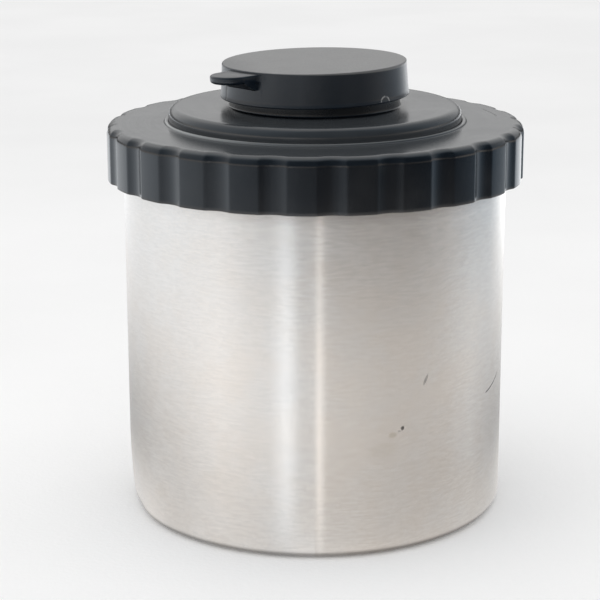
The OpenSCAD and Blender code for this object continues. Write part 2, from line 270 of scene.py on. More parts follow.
@dataclass(frozen=True)
class BrushedSteel:
    """Steel brushed round the Z axis, with its few stains and a painted shadow of the lid just below its rim.
    """

    name: str = "brushed_steel_cup"
    colour: float = 0.66
    dull_share: float = 0.965
    dull_warmth: float = 0.05
    clean_warmth: float = 0.035
    radius: float = 43.5
    streaks_per_m: float = 330.0
    fine_lines_per_m: float = 2500.0
    coarse_lines_per_m: float = 1300.0
    fine_share: float = 0.7
    mottle_per_m: float = 95.0
    grain_per_m: float = 1500.0
    noise_span: Span = (0.36, 0.64)
    grain_span: Span = (0.3, 0.7)
    line_shades: tuple[float, float] = (0.955, 1.02)
    grain_shades: tuple[float, float] = (0.98, 1.01)
    roughness: float = 0.25
    line_roughness: float = 0.08
    mottle_roughness: float = 0.06
    stain_roughness: float = 0.3
    smear_roughness: float = 0.1
    quarter_turn: float = 0.25
    groove_strength: float = 0.1
    groove_depth: float = 0.006
    marks: tuple[Blemish, ...] = (
        Blemish(-64.2, 28.9, 0.42, 0.46, 0.75),
        Blemish(-65.2, 28.3, 0.3, 0.25, 0.2),
        Blemish(-56.6, 38.9, 0.42, 1.15, 0.32, 0.45),
    )
    smears: tuple[Blemish, ...] = (
        Blemish(-67.3, 27.6, 1.0, 0.7, 0.3),
        Blemish(-70.0, 24.4, 3.2, 1.8, 0.1),
        Blemish(-142.9, 9.7, 2.4, 1.8, 0.06),
    )
    smear_colour: Colour = (0.5, 0.44, 0.33, 1.0)
    stain_colour: Colour = grey(0.1, 0.1)
    mark_fade: Span = (0.5, 2.0)
    raggedness: float = 0.8
    # painted shadow of the lid: a dark band just below it, strongest on one side, fading up towards the rim
    lid_shadow_zone: Span = (73.4, 77.4)
    lid_shadow_side: float = -68.0
    lid_shadow_by_side: Ramp = (0.35, 0.95, 0.08, 0.26)
    lid_shadow_fade_to_rim: Ramp = (78.0, 84.0, 1.0, 0.2)
    lid_shadow_colour: Colour = grey(0.02)
    scratch: tuple[float, float, float] = (-28.6, -16.5, 30.9)
    scratch_rise: float = 2.6
    scratch_curve: float = 1.6
    scratch_taper: float = 0.12
    scratch_width: float = 0.11
    scratch_blur: float = 2.2
    scratch_strength: float = 0.75

    def build(self) -> bpy.types.Material:
        """Makes the material."""
        material, graph = new_material(self.name)
        point, x, y, z = graph.place()
        fine = graph.noise(graph.stretched(x, y, z, self.streaks_per_m, self.fine_lines_per_m), 1.0,
                           detail=3.0)
        coarse = graph.noise(graph.stretched(x, y, z, self.streaks_per_m, self.coarse_lines_per_m), 1.0)
        mottle = graph.noise(point, self.mottle_per_m, detail=4.0, roughness=0.6)
        lines = fine * self.fine_share + coarse * (1 - self.fine_share)
        dull = grey(self.colour * self.dull_share, self.dull_warmth)
        tint = graph.blend(mottle.step(*self.noise_span), dull, grey(self.colour, self.clean_warmth))
        shade = graph.blend(lines.step(*self.noise_span), *map(grey, self.line_shades))
        speckle = graph.noise(point, self.grain_per_m).step(*self.grain_span)
        shade = graph.multiply(shade, graph.blend(speckle, *map(grey, self.grain_shades)))
        # the wall just below the lid is darkened by a painted shadow of the lid
        colour = graph.blend(self._painted_lid_shadow(x, y, z), graph.multiply(tint, shade), self.lid_shadow_colour)
        smear = self._marks(graph, self.smears)
        colour = graph.blend(smear, colour, self.smear_colour)
        stain = self._marks(graph, self.marks) + self._scratch(graph, x, y, z)
        roughness = self.roughness - self.line_roughness + lines * self.line_roughness
        roughness = roughness + mottle * self.mottle_roughness
        graph.surface({
            "Base Color": graph.blend(stain, colour, self.stain_colour),
            "Metallic": 1.0,
            "Roughness": roughness + stain * self.stain_roughness + smear * self.smear_roughness,
            "Anisotropic": 1.0,
            "Anisotropic Rotation": self.quarter_turn,
            "Normal": graph.bump(lines, self.groove_strength, self.groove_depth),
        })
        return material

    def _painted_lid_shadow(self, x: Wire, y: Wire, z: Wire) -> Wire:
        """Gives the painted shadow of the lid on the wall just below it, strongest on one side and fading
        towards the rim.
        """
        facing = outward(x, y, self.lid_shadow_side) / (self.radius * MM)
        under = (z / MM).step(*self.lid_shadow_zone) * facing.step(*self.lid_shadow_by_side)
        return under * (z / MM).step(*self.lid_shadow_fade_to_rim)

    def _marks(self, graph: Graph, marks: Sequence[Blemish]) -> Wire:
        """Gives the strength of the marks at a point."""
        point, x, y, z = graph.place()
        ragged = graph.noise(point, self.grain_per_m) * self.raggedness
        total = 0.0
        for mark in marks:
            front = outward(x, y, mark.azimuth).step(0.0, MM)
            rise = z / MM - mark.height
            across = sideways(x, y, mark.azimuth) - rise * mark.lean
            reach = (across / mark.width).power(2.0) + (rise / mark.length).power(2.0)
            total = total + (reach + ragged).step(*self.mark_fade, mark.strength, 0.0) * front
        return total

    def _scratch(self, graph: Graph, x: Wire, y: Wire, z: Wire) -> Wire:
        """Gives the strength of the one curved hairline scratch."""
        start, end, low = self.scratch
        along = (graph.turn_of(y, x) - math.radians(start)) / math.radians(end - start)
        rise = z / MM - low - along.power(self.scratch_curve) * self.scratch_rise
        inside = along.step(0.0, self.scratch_taper) * along.step(1 - self.scratch_taper, 1.0, 1.0, 0.0)
        line = abs(rise).step(self.scratch_width, self.scratch_blur * self.scratch_width,
                              self.scratch_strength, 0.0)
        return line * inside


@dataclass(frozen=True)
class MouldedPlastic:
    """Semi-gloss black plastic with handling marks, settled dust with a painted sheen on its tops, and a pale
    worn lip with a painted highlight that is strongest on the left.
    """

    name: str = "moulded_black_plastic"
    colour: Colour = (0.0016, 0.0026, 0.0046, 1.0)
    dust: Colour = (0.010, 0.012, 0.014, 1.0)
    # dust settled on the tops, with a painted sheen of the light on them
    settled_dust_and_sheen: Colour = (0.037, 0.041, 0.045, 1.0)
    # the pale worn lip, with a painted highlight on it
    lip_wear_and_highlight_colour: Colour = (0.24, 0.25, 0.25, 1.0)
    grain_per_m: float = 2600.0
    wear_per_m: float = 90.0
    rings_per_m: tuple[float, float] = (40.0, 2400.0)
    worn_span: Span = (0.45, 0.75)
    worn_dust: float = 0.35
    grain_span: Span = (0.6, 0.8)
    grain_dust: float = 0.15
    deck: Span = (88.6, 89.1)
    side_foot: Span = (89.7, 90.2)
    side_head: Ramp = (92.3, 92.7, 0.35, 0.0)
    round_neck: Span = (19.4, 21.5)
    even_dust_and_sheen: float = 0.8
    cloudy_dust_and_sheen: float = 0.4
    neck_edge: Ramp = (19.3, 19.6, 1.0, 0.0)
    lip_inside: Span = (33.5, 33.75)
    lip_outside: Ramp = (34.1, 34.3, 1.0, 0.0)
    lip_foot: Span = (89.35, 89.55)
    lip_head: Ramp = (90.0, 90.3, 1.0, 0.0)
    lip_highlight_by_side: Ramp = (-0.2, -0.85, 0.3, 1.0)
    scratch: tuple[float, float, float] = (42.1, 6.0, 22.0)
    scratch_taper: float = 2.0
    scratch_line: Ramp = (0.08, 0.2, 0.6, 0.0)
    roughness: float = 0.14
    worn_roughness: float = 0.1
    ring_roughness: float = 0.05
    scratch_roughness: float = 0.3
    neck_roughness: float = 0.06
    grain_share: float = 0.7
    bump_strength: float = 0.18
    bump_depth: float = 0.03

    def build(self) -> bpy.types.Material:
        """Makes the material."""
        material, graph = new_material(self.name)
        point, x, y, z = graph.place()
        grain = graph.noise(point, self.grain_per_m)
        wear = graph.noise(point, self.wear_per_m, detail=4.0, roughness=0.6)
        radius = distance(x, y)
        rings = graph.noise(graph.stretched(x, y, radius, *self.rings_per_m), 1.0)
        dusty = wear.step(*self.worn_span) * self.worn_dust + grain.step(*self.grain_span) * self.grain_dust
        height, reach = z / MM, radius / MM
        side = height.step(*self.side_foot) * height.step(*self.side_head)
        # the tops are lighter: settled dust, with a painted sheen of the light on them
        dust_and_sheen_on_tops = (height.step(*self.deck) - side) * reach.step(*self.round_neck)
        dust_and_sheen_on_tops = dust_and_sheen_on_tops * (self.even_dust_and_sheen + wear * self.cloudy_dust_and_sheen)
        colour = graph.blend(dust_and_sheen_on_tops, graph.blend(dusty, self.colour, self.dust), self.settled_dust_and_sheen)
        # the lip is paler where worn, with a painted highlight that is strongest on the left
        lip_wear_and_highlight = reach.step(*self.lip_inside) * reach.step(*self.lip_outside) * height.step(*self.lip_foot)
        lip_wear_and_highlight = lip_wear_and_highlight * height.step(*self.lip_head) * (x / radius).step(*self.lip_highlight_by_side)
        colour = graph.blend(lip_wear_and_highlight, colour, self.lip_wear_and_highlight_colour)
        line = self._scratch(graph.turn_of(y, x) * (360 / TURN), reach) * dust_and_sheen_on_tops
        roughness = self.roughness + wear * self.worn_roughness + rings * self.ring_roughness
        roughness = roughness + line * self.scratch_roughness
        graph.surface({
            "Base Color": graph.blend(line, colour, self.colour),
            "Roughness": roughness + reach.step(*self.neck_edge) * self.neck_roughness,
            "Normal": graph.bump(grain * self.grain_share + rings * (1 - self.grain_share),
                                 self.bump_strength, self.bump_depth),
        })
        return material

    def _scratch(self, bearing: Wire, reach: Wire) -> Wire:
        """Gives the strength of the curved scratch on the flange's top."""
        arc, start, end = self.scratch
        along = bearing.step(start, start + self.scratch_taper)
        along = along * bearing.step(end - self.scratch_taper, end, 1.0, 0.0)
        return abs(reach - arc).step(*self.scratch_line) * along


@dataclass(frozen=True)
class SoftRubber:
    """Matt black soft moulding that scatters light into a dusty sheen, with settled dust and a painted sheen
    on its top.
    """

    name: str = "soft_black_rubber"
    colour: Colour = (0.003, 0.007, 0.013, 1.0)
    worn: Colour = (0.035, 0.04, 0.042, 1.0)
    # settled dust on the top, with a painted sheen of the light on it
    settled_dust_and_sheen: Colour = grey(0.1)
    grain_per_m: float = 2200.0
    cloud_per_m: float = 160.0
    cloud_span: Span = (0.4, 0.7)
    grain_span: Span = (0.55, 0.75)
    dust: float = 0.09
    top: Span = (102.3, 102.6)
    top_dust_and_sheen: tuple[float, float, float] = (0.5, 0.6, 0.4)
    rim_reach: Span = (20.25, 20.6)
    rim_height: Span = (102.3, 102.55)
    # how much lighter the colour is along the top rim
    rim_lightening: float = 0.5
    parting: tuple[float, float, float] = (-157.5, 94.9, 99.0)
    parting_line: Ramp = (0.24, 0.5, 0.95, 0.0)
    parting_end: float = 0.1
    parting_colour: Colour = grey(0.0005)
    curl: tuple[float, float] = (-43.2, 95.6)
    curl_size: float = 1.3
    curl_line: Ramp = (0.06, 0.2, 0.75, 0.0)
    curl_foot: Span = (0.0, 0.3)
    curl_colour: Colour = grey(0.3)
    flakes_per_m: float = 900.0
    flake_span: Span = (0.36, 0.5)
    roughness: float = 0.32
    grain_roughness: float = 0.15
    sheen: float = 0.02
    sheen_roughness: float = 0.4
    grain_depth: float = 0.015
    parting_depth: float = 0.4

    def build(self) -> bpy.types.Material:
        """Makes the material."""
        material, graph = new_material(self.name)
        point, x, y, z = graph.place()
        grain = graph.noise(point, self.grain_per_m, detail=3.0, roughness=0.6)
        cloud = graph.noise(point, self.cloud_per_m, detail=3.0)
        height, radius = z / MM, distance(x, y) / MM
        dusty = (cloud.step(*self.cloud_span) + grain.step(*self.grain_span)) * self.dust
        # the colour is lighter along the top rim
        rim = radius.step(*self.rim_reach) * height.step(*self.rim_height)
        colour = graph.blend(dusty + rim * self.rim_lightening, self.colour, self.worn)
        # the top is lighter: settled dust, with a painted sheen of the light on it
        even, cloudy, grainy = self.top_dust_and_sheen
        dust_and_sheen_on_tops = height.step(*self.top) * (even + cloud * cloudy + grain * grainy)
        colour = graph.blend(dust_and_sheen_on_tops, colour, self.settled_dust_and_sheen)
        flakes = graph.noise(point, self.flakes_per_m)
        colour = graph.blend(self._curl(flakes, x, y, z), colour, self.curl_colour)
        line = self._parting(x, y, z)
        graph.surface({
            "Base Color": graph.blend(line, colour, self.parting_colour),
            "Roughness": self.roughness + (grain - 0.5) * self.grain_roughness,
            "Sheen Weight": self.sheen,
            "Sheen Roughness": self.sheen_roughness,
            "Normal": graph.bump(grain * self.grain_depth - line * self.parting_depth, 1.0, 1.0),
        })
        return material

    def _curl(self, flakes: Wire, x: Wire, y: Wire, z: Wire) -> Wire:
        """Gives the strength of the small pale curl, half worn off, above the cap's lower edge."""
        side, rise = self._beside(x, y, z, self.curl)
        ring = abs(distance(side, rise) / self.curl_size - 1.0)
        return ring.step(*self.curl_line) * rise.step(*self.curl_foot) * flakes.step(*self.flake_span)

    def _parting(self, x: Wire, y: Wire, z: Wire) -> Wire:
        """Gives the strength of the mould's parting line on the cap's side."""
        bearing, low, high = self.parting
        side, rise = self._beside(x, y, z, (bearing, low))
        tall = high - low
        return abs(side).step(*self.parting_line) * rise.step(tall, tall + self.parting_end, 1.0, 0.0)

    @staticmethod
    def _beside(x: Wire, y: Wire, z: Wire, spot: tuple[float, float]) -> tuple[Wire, Wire]:
        """Gives the distances in millimetres along the side and up it from a bearing and a height.

        On the far side of the cap the first distance is large, so that a mark isn't repeated there.
        """
        bearing, level = spot
        far = 100.0
        away = outward(x, y, bearing).step(-MM, 0.0, far, 0.0)
        return sideways(x, y, bearing) + away, z / MM - level


@dataclass(frozen=True)
class DrawnWire:
    """Drawn stainless wire or spring strip, bright with fine die marks."""

    name: str = "drawn_steel_wire"
    colour: float = 0.62
    roughness: float = 0.22
    marks_per_m: float = 3000.0
    cloud_per_m: float = 120.0
    cloud_span: Span = (0.35, 0.65)
    bright_warmth: float = 0.01
    dull_share: float = 0.9
    dull_warmth: float = 0.03
    smoothest: float = 0.05
    mark_roughness: float = 0.12
    mark_strength: float = 0.1
    mark_depth: float = 0.02

    def build(self) -> bpy.types.Material:
        """Makes the material."""
        material, graph = new_material(self.name)
        point = graph.place()[0]
        marks = graph.noise(point, self.marks_per_m, detail=3.0)
        cloud = graph.noise(point, self.cloud_per_m)
        tint = graph.blend(cloud.step(*self.cloud_span), grey(self.colour, self.bright_warmth),
                           grey(self.colour * self.dull_share, self.dull_warmth))
        graph.surface({
            "Base Color": tint,
            "Metallic": 1.0,
            "Roughness": self.roughness - self.smoothest + marks * self.mark_roughness,
            "Normal": graph.bump(marks, self.mark_strength, self.mark_depth),
        })
        return material


def deselect() -> None:
    """Deselects every object, and leaves edit mode."""
    if bpy.context.object and bpy.context.object.mode != "OBJECT":
        bpy.ops.object.mode_set(mode="OBJECT")
    bpy.ops.object.select_all(action="DESELECT")


class Workpiece:
    """One mesh on the bench, open in edit mode until it is finished."""

    def __init__(self, name: str, add: Callable[..., Any], **settings: Any) -> None:
        """Adds a primitive and opens it.

        Args:
            name: The piece's name.
            add: The operator that adds the primitive.
            settings: The operator's own settings.
        """
        deselect()
        add(**settings)
        self.obj = bpy.context.object
        self.obj.name = name
        self.obj.data.name = name
        bpy.ops.object.transform_apply(location=True, rotation=True, scale=True)
        bpy.ops.object.mode_set(mode="EDIT")

    def pick(self, what: Pick, test: Callable[[Vector], bool]) -> None:
        """Selects what passes a test on its middle.

        Args:
            what: The kind of element.
            test: Takes the middle in millimetres.
        """
        bpy.ops.mesh.select_mode(type=what.value)
        bpy.ops.mesh.select_all(action="DESELECT")
        mesh = bmesh.from_edit_mesh(self.obj.data)
        for element in mesh.verts if what is Pick.VERTS else mesh.edges:
            if test(self._middle(element) / MM):
                element.select_set(True)
        bmesh.update_edit_mesh(self.obj.data)

    @staticmethod
    def _middle(element: bmesh.types.BMVert | bmesh.types.BMEdge) -> Vector:
        """Gives the middle of a vertex or edge."""
        if isinstance(element, bmesh.types.BMVert):
            return element.co.copy()
        return sum((v.co for v in element.verts), Vector()) / len(element.verts)

    def finish(self, material: bpy.types.Material) -> bpy.types.Object:
        """Closes the piece, turns its faces outwards and dresses it.

        Args:
            material: The finish of the whole piece.

        Returns:
            The finished object.
        """
        bpy.ops.mesh.select_all(action="SELECT")
        bpy.ops.mesh.remove_doubles(threshold=WELD_M)
        bpy.ops.mesh.normals_make_consistent(inside=False)
        bpy.ops.object.mode_set(mode="OBJECT")
        bpy.ops.object.shade_smooth_by_angle(angle=SMOOTH_ANGLE)
        self.obj.data.materials.clear()
        self.obj.data.materials.append(material)
        return self.obj


@dataclass(frozen=True)
class Corner:
    """A corner of a turned profile: its radius, its height, and the distance that its rounding takes up."""

    r: float
    z: float
    rounding: float = 0.0


def profile(name: str, corners: Sequence[Corner], segments: int = 6) -> Workpiece:
    """Draws a profile in the XZ plane, ready to be turned.

    Args:
        name: The piece's name.
        corners: The profile. It is closed unless both its ends lie on the axis.
        segments: Divisions of each rounding.

    Returns:
        The drawn profile, still open.
    """
    piece = Workpiece(name, bpy.ops.mesh.primitive_plane_add, size=2 * MM, location=(MM, MM, 0))
    piece.pick(Pick.VERTS, lambda p: p.length > NEAR_MM)
    bpy.ops.mesh.delete(type="VERT")
    bpy.ops.mesh.select_all(action="SELECT")
    bpy.ops.transform.translate(value=(corners[0].r * MM, 0, corners[0].z * MM))
    for here, there in pairwise(corners):
        move = ((there.r - here.r) * MM, 0, (there.z - here.z) * MM)
        bpy.ops.mesh.extrude_region_move(TRANSFORM_OT_translate={"value": move})
    ends = (corners[0], corners[-1])
    if any(end.r > 0 for end in ends):
        piece.pick(Pick.VERTS, lambda p: any(abs(p.x - e.r) + abs(p.z - e.z) < SAME for e in ends))
        bpy.ops.mesh.edge_face_add()
    for corner in corners:
        if corner.rounding:
            piece.pick(Pick.VERTS, lambda p: abs(p.x - corner.r) + abs(p.z - corner.z) < SAME)
            bpy.ops.mesh.bevel(offset_type="OFFSET", offset=corner.rounding * MM, segments=segments,
                               affect="VERTICES")
    return piece


def turned(name: str, corners: Sequence[Corner], steps: int, segments: int = 6) -> Workpiece:
    """Turns a profile round the Z axis.

    Args:
        name: The piece's name.
        corners: The profile.
        steps: Divisions round the axis.
        segments: Divisions of each rounding.

    Returns:
        The turned piece, still open.
    """
    piece = profile(name, corners, segments)
    bpy.ops.mesh.select_all(action="SELECT")
    bpy.ops.mesh.spin(steps=steps, angle=TURN, center=(0, 0, 0), axis=(0, 0, 1), use_auto_merge=True)
    bpy.ops.mesh.select_all(action="SELECT")
    bpy.ops.mesh.remove_doubles(threshold=WELD_M)
    return piece


@dataclass(frozen=True)
class Seat:
    """How a hand-pressed piece sits: a small tilt about X and Y and a small shift, as in the photograph."""

    tilt_x: float = 0.0
    tilt_y: float = 0.0
    shift: tuple[float, float, float] = (0.0, 0.0, 0.0)
    pivot_z: float = 0.0

    def settle(self, obj: bpy.types.Object) -> None:
        """Turns and moves the mesh, and leaves the object at the origin."""
        pivot = Matrix.Translation((0, 0, self.pivot_z * MM))
        turn = Matrix.Rotation(math.radians(self.tilt_x), 4, "X") @ Matrix.Rotation(
            math.radians(self.tilt_y), 4, "Y")
        shift = Matrix.Translation(Vector(self.shift) * MM)
        obj.data.transform(shift @ pivot @ turn @ pivot.inverted())


def hand_over(obj: bpy.types.Object, body: str, nodes: Sequence[str]) -> None:
    """Rides a piece on its body and what it replaces, and reports it."""
    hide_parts(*nodes)
    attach(obj, body)
    log.info("%s rides on %s: %d faces", obj.name, body, len(obj.data.polygons))


@dataclass
class TankCup:
    """The drawn steel cup."""

    wall: float = 0.8
    rim_flat: float = 0.02
    foot_round: float = 3.0
    foot_ring_in: float = 30.8
    foot_slope: float = 1.5
    foot_shift: float = 0.3
    foot_dish: float = 0.6
    steps: int = 288
    wall_rows: tuple[float, ...] = (4.5, 6.0, 8.0, 10.5, 13.5, 17.0)
    dent_azimuth: float = 191.0
    dent_half: float = 7.0
    dent_depth: float = 0.85
    dent_reach: float = 16.0
    dent_band: float = 1.0

    def build(self, steel: BrushedSteel) -> bpy.types.Object:
        """Makes the cup from its profile, dents it at the left of its foot and dresses it."""
        _low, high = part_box("tank_cup")
        radius = high.x / MM
        height = high.z / MM
        inner = radius - self.wall
        floor = self.wall + self.foot_dish
        rim_round = self.wall / 2 - self.rim_flat
        inside = self.foot_ring_in + self.foot_shift
        corners = [
            Corner(0, self.foot_dish),
            Corner(self.foot_ring_in - self.foot_slope, self.foot_dish, Edge.WIDE),
            Corner(self.foot_ring_in, 0, Edge.WIDE),
            Corner(radius, 0, self.foot_round),
            *(Corner(radius, z) for z in self.wall_rows),
            Corner(radius, height, rim_round),
            Corner(inner, height, rim_round),
            *(Corner(inner, z) for z in reversed(self.wall_rows)),
            Corner(inner, self.wall, self.foot_round - self.wall),
            Corner(inside, self.wall, Edge.SOFT),
            Corner(inside - self.foot_slope, floor, Edge.SOFT),
            Corner(0, floor),
        ]
        piece = turned("tank_cup_shell", corners, self.steps)
        self.dent(piece, inner)
        obj = piece.finish(steel.build())
        hand_over(obj, "tank", ["tank_cup"])
        return obj

    def dent(self, piece: Workpiece, inner: float) -> None:
        """Presses the wall in a little above its foot, fading upwards and sideways."""
        azimuth = math.radians(self.dent_azimuth)
        way = Vector((math.cos(azimuth), math.sin(azimuth), 0))
        piece.pick(Pick.VERTS, lambda p: (
            p.z < 2 * self.wall and p.length > inner - self.dent_band
            and p.normalized().dot(way) > math.cos(math.radians(self.dent_half))))
        bpy.ops.transform.translate(value=way * (-self.dent_depth * MM), use_proportional_edit=True,
                                    proportional_edit_falloff="SHARP",
                                    proportional_size=self.dent_reach * MM)


@dataclass
class Lid:
    """The moulded lid: the scalloped flange, the raised centre with its neck, and the light trap."""

    seat: Seat
    centre_seat: Seat
    flange_r: float = 47.25
    flange_top: float = 89.2
    flange_low: float = 76.7
    flange_under: float = 87.15
    low_edge_tilt: float = -0.44
    low_edge_band: float = 1.0
    skirt_in: float = 43.8
    plug_out: float = 42.4
    plug_in: float = 40.6
    plug_low: float = 81.0
    shoulder: float = 2.0
    support: float = 0.45
    lip_r: float = 34.1
    lip_h: float = 0.5
    lip_round: float = 0.25
    lip_slope: float = 0.15
    hole_r: float = 33.25
    flange_segments: int = 7
    scallops: int = 24
    scallop_depth: float = 0.85
    scallop_r: float = 5.9
    scallop_phase: float = 4.3
    scallop_steps: tuple[int, ...] = (2, 10, 13, 10, 2)
    edge_at: float = 3.5
    edge_half: float = 0.6
    edge_blend: float = 0.12
    skin: float = 0.6
    weld: float = 0.002
    centre_r: float = 33.2
    centre_top: float = 92.8
    centre_under: float = 90.6
    centre_round: float = 2.0
    centre_steps: int = 288
    retainer_r: float = 36.3
    retainer_wall: float = 2.2
    retainer_low: float = 85.2
    retainer_top: float = 87.0
    neck_r: float = 19.2
    neck_in: float = 17.4
    neck_rim: float = 100.8
    hanger_in: float = 20.47
    hanger_out: float = 23.67
    hanger_low: float = 87.6
    trap_r: float = 27.93
    trap_wall: float = 1.2
    trap_floor: float = 85.5
    trap_rim: float = 88.5
    trap_steps: int = 192
    pegs: int = 4
    peg_r: float = 1.3
    peg_sides: int = 32
    peg_sink: float = 0.3
    peg_round: float = 0.25
    peg_segments: int = 3

    def build(self, plastic: bpy.types.Material) -> list[bpy.types.Object]:
        """Makes the three pieces of the lid."""
        pieces = [self.flange(plastic), self.centre(plastic), self.trap(plastic)]
        self.seat.settle(pieces[0])
        self.centre_seat.settle(pieces[1])
        self.centre_seat.settle(pieces[2])
        for obj, node in zip(pieces, ("lid_flange", "lid_centre", "light_trap_disc")):
            hand_over(obj, "lid", [node])
        return pieces

    def scallop_scale(self, offset_deg: float) -> float:
        """Gives the outer radius at an angle from a scallop's middle, as a share of the full radius."""
        angle = math.radians(offset_deg)
        centre = self.flange_r - self.scallop_depth + self.scallop_r
        across = centre * math.sin(angle)
        if abs(across) >= self.scallop_r:
            return 1.0
        hollow = centre * math.cos(angle) - math.sqrt(self.scallop_r ** 2 - across ** 2)
        gap = (self.flange_r - hollow) / 2
        smooth = (self.flange_r + hollow) / 2 - math.hypot(gap, self.edge_blend)
        return min(1.0, smooth / self.flange_r)

    def flange(self, plastic: bpy.types.Material) -> bpy.types.Object:
        """Makes the flange, with its scallops and its leaning lower edge."""
        lip_top = self.flange_top + self.lip_h
        corners = [
            Corner(self.hole_r, self.flange_under, Edge.SHARP),
            Corner(self.hole_r, lip_top, Edge.SHARP),
            Corner(self.lip_r, lip_top, self.lip_round),
            Corner(self.lip_r + self.lip_slope, self.flange_top, Edge.SHARP),
            Corner(self.lip_r + 2 * self.support, self.flange_top),
            Corner(self.flange_r - self.shoulder - self.support, self.flange_top),
            Corner(self.flange_r, self.flange_top, self.shoulder),
            Corner(self.flange_r, self.flange_top - self.shoulder - self.support),
            Corner(self.flange_r, self.flange_low + 2 * self.support),
            Corner(self.flange_r, self.flange_low, Edge.CRISP),
            Corner(self.skirt_in, self.flange_low, Edge.EASED),
            Corner(self.skirt_in, self.flange_under, Edge.CRISP),
            Corner(self.plug_out, self.flange_under, Edge.CRISP),
            Corner(self.plug_out, self.plug_low, Edge.CRISP),
            Corner(self.plug_in, self.plug_low, Edge.CRISP),
            Corner(self.plug_in, self.flange_under, Edge.CRISP),
        ]
        piece = profile("lid_flange_moulding", corners, self.flange_segments)
        self.spin_scallop(piece)
        self.lean_low_edge(piece)
        obj = piece.finish(plastic)
        start = math.radians(self.scallop_phase) - TURN / 2 / self.scallops
        obj.data.transform(Matrix.Rotation(start, 4, "Z"))
        return obj

    def spin_scallop(self, piece: Workpiece) -> None:
        """Spins the profile over one scallop, draws its rows in, and repeats the scallop round the lid.

        The steps are finest where the hollow meets the lobe on either side of it.
        """
        half = 180 / self.scallops
        near, far = self.edge_at - self.edge_half, self.edge_at + self.edge_half
        sweeps = (half - far, far - near, 2 * near, far - near, half - far)
        bpy.ops.mesh.select_all(action="SELECT")
        offsets = [-half]
        for count, sweep in zip(self.scallop_steps, sweeps):
            bpy.ops.mesh.spin(steps=count, angle=math.radians(sweep), center=(0, 0, 0), axis=(0, 0, 1))
            offsets += [offsets[-1] + sweep * (i + 1) / count for i in range(count)]
        skin = self.skirt_in + self.skin
        for offset in offsets:
            scale = self.scallop_scale(offset)
            angle = math.radians(offset + half)
            piece.pick(Pick.VERTS, lambda p: (
                math.hypot(p.x, p.y) > skin and abs(abs(math.atan2(p.y, p.x)) - angle) < SAME))
            bpy.ops.transform.resize(value=(scale, scale, 1), center_override=(0, 0, 0))
        bpy.ops.mesh.select_all(action="SELECT")
        others = self.scallops - 1
        bpy.ops.mesh.spin(steps=others, angle=TURN * others / self.scallops, dupli=True,
                          center=(0, 0, 0), axis=(0, 0, 1))
        bpy.ops.mesh.select_all(action="SELECT")
        bpy.ops.mesh.remove_doubles(threshold=self.weld * MM)

    def lean_low_edge(self, piece: Workpiece) -> None:
        """Lets the skirt's lower edge stand a little higher towards the camera than at the back."""
        mesh = bmesh.from_edit_mesh(piece.obj.data)
        for vert in mesh.verts:
            if vert.co.z < (self.flange_low + self.low_edge_band) * MM:
                vert.co.z += vert.co.y * math.tan(math.radians(self.low_edge_tilt))
        bmesh.update_edit_mesh(piece.obj.data)

    def centre(self, plastic: bpy.types.Material) -> bpy.types.Object:
        """Makes the raised centre with the neck, the retaining ring and the hanging ring."""
        retainer_in = self.centre_r - self.retainer_wall
        corners = [
            Corner(self.neck_in, self.centre_under, Edge.CRISP),
            Corner(self.neck_in, self.neck_rim, Edge.SOFT),
            Corner(self.neck_r, self.neck_rim, Edge.SOFT),
            Corner(self.neck_r, self.centre_top + 2 * self.support),
            Corner(self.neck_r, self.centre_top, Edge.SOFT),
            Corner(self.neck_r + 2 * self.support, self.centre_top),
            Corner(self.centre_r - self.centre_round - self.support, self.centre_top),
            Corner(self.centre_r, self.centre_top, self.centre_round),
            Corner(self.centre_r, self.centre_top - self.centre_round - self.support),
            Corner(self.centre_r, self.retainer_top),
            Corner(self.retainer_r, self.retainer_top, Edge.CRISP),
            Corner(self.retainer_r, self.retainer_low, Edge.EASED),
            Corner(retainer_in, self.retainer_low, Edge.EASED),
            Corner(retainer_in, self.centre_under, Edge.WIDE),
            Corner(self.hanger_out, self.centre_under, Edge.EASED),
            Corner(self.hanger_out, self.hanger_low, Edge.CRISP),
            Corner(self.hanger_in, self.hanger_low, Edge.CRISP),
            Corner(self.hanger_in, self.centre_under, Edge.EASED),
        ]
        return turned("lid_centre_moulding", corners, self.centre_steps, self.flange_segments).finish(plastic)

    def trap(self, plastic: bpy.types.Material) -> bpy.types.Object:
        """Makes the dished disc of the light trap with its pegs."""
        corners = [
            Corner(0, self.trap_floor - self.trap_wall),
            Corner(self.trap_r, self.trap_floor - self.trap_wall, Edge.WIDE),
            Corner(self.trap_r, self.trap_rim, Edge.EASED),
            Corner(self.trap_r - self.trap_wall, self.trap_rim, Edge.EASED),
            Corner(self.trap_r - self.trap_wall, self.trap_floor, Edge.SOFT),
            Corner(0, self.trap_floor),
        ]
        disc = turned("light_trap_moulding", corners, self.trap_steps).finish(plastic)
        ring = (self.hanger_in + self.hanger_out) / 2
        pegs = [self.peg(ring, (i + 0.5) * TURN / self.pegs, plastic) for i in range(self.pegs)]
        return joined(disc, pegs)

    def peg(self, ring: float, angle: float, plastic: bpy.types.Material) -> bpy.types.Object:
        """Makes one peg between the disc's floor and the hanging ring."""
        low = self.trap_floor - self.peg_sink
        tall = self.hanger_low + 2 * self.peg_sink - low
        place = (ring * math.cos(angle) * MM, ring * math.sin(angle) * MM, (low + tall / 2) * MM)
        piece = Workpiece("peg", bpy.ops.mesh.primitive_cylinder_add, vertices=self.peg_sides,
                          radius=self.peg_r * MM, depth=tall * MM, location=place)
        piece.pick(Pick.EDGES, lambda p: abs(p.z - low) < NEAR_MM)
        bpy.ops.mesh.bevel(offset=self.peg_round * MM, segments=self.peg_segments)
        return piece.finish(plastic)


def joined(main: bpy.types.Object, others: Sequence[bpy.types.Object]) -> bpy.types.Object:
    """Joins pieces into the first one."""
    deselect()
    for obj in (*others, main):
        obj.select_set(True)
    bpy.context.view_layer.objects.active = main
    bpy.ops.object.join()
    return main


